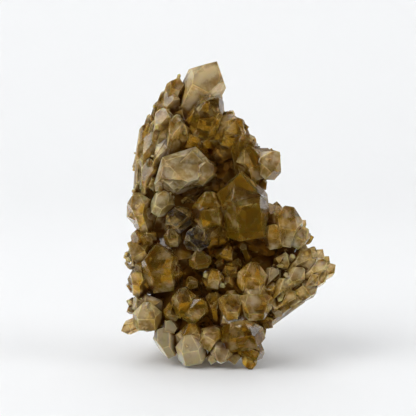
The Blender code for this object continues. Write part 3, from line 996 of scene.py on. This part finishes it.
def relief(bm, edges):
    """Gives the faces low waves, growth steps that follow the edges, and chipped edges."""
    moves = []
    for v, edge in zip(bm.verts, edges):
        p = v.co
        wave = noise.noise(p / WAVE_LONG) + 0.5 * noise.noise(p / WAVE_SHORT)
        rise = WAVE * (wave - 1) * min(1, edge / WAVE_EDGE)
        place = (edge + STEP_SWAY * noise.noise(p / STEP_BEND)) / STEP_EVERY
        rise += STEP * (min(STEPS, math.floor(place)) - 1)
        chip = max(0.0, noise.noise(p / CHIP_EVERY + CHIP_SHIFT) - CHIP_FROM)
        rise -= CHIP * chip * max(0.0, 1 - edge / CHIP_WIDE)
        moves.append(v.normal * rise)
    for v, move in zip(bm.verts, moves):
        v.co += move


# ---- the looks ----


def blend(tree, factor, a, b):
    return node(tree, "Mix", {0: factor, 6: a, 7: b}, data_type="RGBA").outputs[2]


def painted(tree, name, output="Fac"):
    return node(tree, "Attribute", attribute_name=name).outputs[output]


def noisy(tree, inputs, **settings):
    return node(tree, "TexNoise", inputs, **settings).outputs[0]


def summed(tree, parts):
    """The sum of some values, each times its share."""
    total = 0.0
    for value, share in parts:
        total = maths(tree, "ADD", total, maths(tree, "MULTIPLY", value, share))
    return total


def bumps(tree, place):
    """Growth lines across the prism faces, and grain."""
    axis = painted(tree, "axis", "Vector")
    along = node(tree, "VectorMath", {0: place, 1: axis}, operation="DOT_PRODUCT")
    lines = noisy(tree, {"W": along.outputs["Value"], **LINES}, noise_dimensions="1D")
    grain = noisy(tree, {"Vector": place, **GRAIN})
    height = maths(tree, "ADD", lines, maths(tree, "MULTIPLY", grain, GRAIN_SHARE))
    return node(tree, "Bump", {"Height": height, "Strength": BUMP, "Distance": BUMP_HIGH}).outputs["Normal"]


def quartz():
    """Clear smoky quartz: golden, grey, cloudy and dark crystals, pale ridges with a painted highlight, and
    painted shade in the hollows.
    """
    m = bpy.data.materials.new("smoky_quartz_looks")
    m.use_nodes = True
    tree = m.node_tree
    place = node(tree, "TexCoord").outputs["Object"]
    gold = painted(tree, "gold")
    seam = painted(tree, "seam")
    cloud = noisy(tree, {"Vector": place, **CLOUDS})
    wisp = noisy(tree, {"Vector": place, **WISPS})

    # How cloudy and golden it is, with a painted glow by the seams, how pale at its ridges, with a
    # painted highlight, and how deep in painted shade, each from 0 to 1.
    clouds = ranged(tree, cloud, *CLOUD_FROM, *CLOUD_MILK)
    haze = maths(tree, "ADD", painted(tree, "milk"), clouds, clamp=True)
    # A painted glow: more golden towards the seams, added to the crystal's own gold.
    gold_and_seam_glow = maths(tree, "ADD", gold, ranged(tree, seam, SEAM_GLOW, 0.0), clamp=True)
    # Pale ridges: partly real veils and worn edges, partly a painted highlight.
    edge = ranged(tree, painted(tree, "ridge"), RIDGE_WIDTH, 0.0)
    edge = maths(tree, "MULTIPLY", edge, ranged(tree, wisp, *WISP_FROM, *RIDGE_SHARE))
    edge = maths(tree, "MULTIPLY", edge, ranged(tree, haze, 0.0, EDGE_HAZE, EDGE_CLEAR, 1.0))
    # Painted shade: darker where the stone is enclosed and in the black hollows, less on the grey crystals.
    hollow = ranged(tree, painted(tree, "hollow"), 0.0, HOLLOW_FULL)
    painted_shade = maths(tree, "MAXIMUM", ranged(tree, painted(tree, "deep"), *PAINTED_SHADE_FROM), hollow)
    painted_shade = maths(tree, "MULTIPLY", painted_shade, ranged(tree, gold, *GREY_FADE, GREY_PAINTED_SHADE, 1.0))

    # One colour laid over another.
    colour = blend(tree, gold_and_seam_glow, SMOKY, GOLDEN)
    colour = blend(tree, ranged(tree, gold, 0.0, -1.0), colour, GREYISH)
    colour = blend(tree, haze, colour, CLOUDY)
    colour = blend(tree, maths(tree, "MULTIPLY", painted(tree, "dark"), DARKEST), colour, SHADE)
    # Painted shade along the seams.
    colour = blend(tree, ranged(tree, seam, SEAM_WIDTH, 0.0, 0.0, SEAM_SHARE), colour, SEAM_PAINTED_SHADE)
    # Pale ridges with a painted highlight.
    colour = blend(tree, edge, colour, RIDGE_VEIL_AND_HIGHLIGHT)
    # Painted shade in the hollows.
    colour = blend(tree, painted_shade, colour, HOLLOW_PAINTED_SHADE)

    shares = [(haze, HAZE_SOLID), (painted_shade, PAINTED_SHADE_SOLID), (edge, EDGE_SOLID), (gold_and_seam_glow, GOLD_SOLID)]
    solid = summed(tree, shares)
    rough = ranged(tree, cloud, *ROUGH_FROM, *ROUGH)
    inputs = {
        "Base Color": colour,
        "Transmission Weight": maths(tree, "SUBTRACT", CLEARNESS, solid, clamp=True),
        "Roughness": maths(tree, "ADD", rough, maths(tree, "MULTIPLY", haze, HAZE_ROUGH)),
        "IOR": IOR,
        "Subsurface Weight": GLOW,
        "Subsurface Radius": GLOW_REACH,
        "Subsurface Scale": GLOW_SCALE,
        "Normal": bumps(tree, place),
    }
    fill(tree, tree.nodes["Principled BSDF"], inputs)
    volume = node(tree, "VolumeAbsorption", {"Color": ABSORB, "Density": DENSITY}).outputs["Volume"]
    fill(tree, tree.nodes["Material Output"], {"Volume": volume})
    return m


def face_looks(bm, facets, of, frames, looks):
    """Each face's gold, milk, dark and growth axis, from the crystal that it lies on, with painted shade on
    tip faces and painted light on prism faces.
    """
    found = {"gold": [], "milk": [], "dark": [], "axis": []}
    for f in bm.faces:
        _, _, facet, away = facets.find_nearest(f.calc_center_median())
        axis = frames[of[facet]][0]
        look = looks[of[facet]]
        slope = 1.0 if away > ON_FACET else abs(f.normal.dot(axis))
        tip = max(0.0, 1 - abs(slope - TIP_NORMAL) / KIND_FIT)
        prism = max(0.0, 1 - slope / KIND_FIT)
        # Painted shade on tip faces, painted light on prism faces.
        found["gold"].append(look.gold - TIP_PAINTED_GREY * tip + PRISM_PAINTED_LIGHT * prism)
        found["milk"].append(look.milk)
        found["dark"].append(look.dark + TIP_PAINTED_SHADE * tip)
        found["axis"].extend(axis if prism > 0 else (0, 0, 0))
    return found


def dressed(bm, facets, of, frames, looks):
    """The finished mesh, with its relief and the values that its material reads."""
    ridge = edge_distances(bm, ridges_of(bm))
    seam = edge_distances(bm, seams_of(bm))
    deep = depths(bm)
    hollow = shadows(bm)
    by_face = face_looks(bm, facets, of, frames, looks)
    relief(bm, [min(pair) for pair in zip(ridge, seam)])
    mesh = bpy.data.meshes.new("quartz_crystals")
    bm.to_mesh(mesh)
    bm.free()
    mesh.polygons.foreach_set("use_smooth", [True] * len(mesh.polygons))
    mesh.set_sharp_from_angle(angle=SHARP)
    by_vertex = {
        "ridge": [r / MM for r in ridge],
        "seam": [s / MM for s in seam],
        "deep": deep,
        "hollow": hollow,
    }
    for name, values in by_vertex.items():
        mesh.attributes.new(name, "FLOAT", "POINT").data.foreach_set("value", values)
    for name in ("gold", "milk", "dark"):
        mesh.attributes.new(name, "FLOAT", "FACE").data.foreach_set("value", by_face[name])
    mesh.attributes.new("axis", "FLOAT_VECTOR", "FACE").data.foreach_set("vector", by_face["axis"])
    mesh.materials.append(quartz())
    return mesh


def cluster(cad):
    rng = random.Random(SEED)
    flat = fused(cad.data)
    of, count = crystal_of_each(flat)
    faces_of = [[] for _ in range(count)]
    for face, number in zip(flat.faces, of):
        faces_of[number].append(face)
    frames = [crystal_frame(faces) for faces in faces_of]
    looks = []
    for faces in faces_of:
        middle = sum((f.calc_center_median() for f in faces), Vector()) / len(faces)
        looks.append(look_of(middle, rng))
    piece = as_object(flat, "mass")
    corners = [v.co.copy() for v in flat.verts]
    sides = [[v.index for v in f.verts] for f in flat.faces]
    limit = min(v.co.y for v in flat.verts) - PAST
    for crystal in GROWN:
        faces, axis, side = grow(piece, crystal, limit, rng)
        for face in faces:
            sides.append(list(range(len(corners), len(corners) + len(face))))
            corners += face
        of += [len(frames)] * len(faces)
        frames.append((axis, side))
        looks.append(Look(crystal.gold, crystal.milk, crystal.dark, 0.0))
    crust = [look.sugar for look in looks]
    crusted(piece, sugar(flat, of, frames, crust, rng), rng)
    facets = BVHTree.FromPolygons(corners, sides)
    piece.data = dressed(refined(piece.data), facets, of, frames, looks)
    piece.name = "quartz_crystals"
    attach(piece, "root")
    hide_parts(NODE)


def main():
    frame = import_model()
    camera()
    world()
    lamps()
    sweep()
    cluster(frame["nodes"][NODE])
    bpy.context.scene.view_settings.view_transform = "Standard"


main()
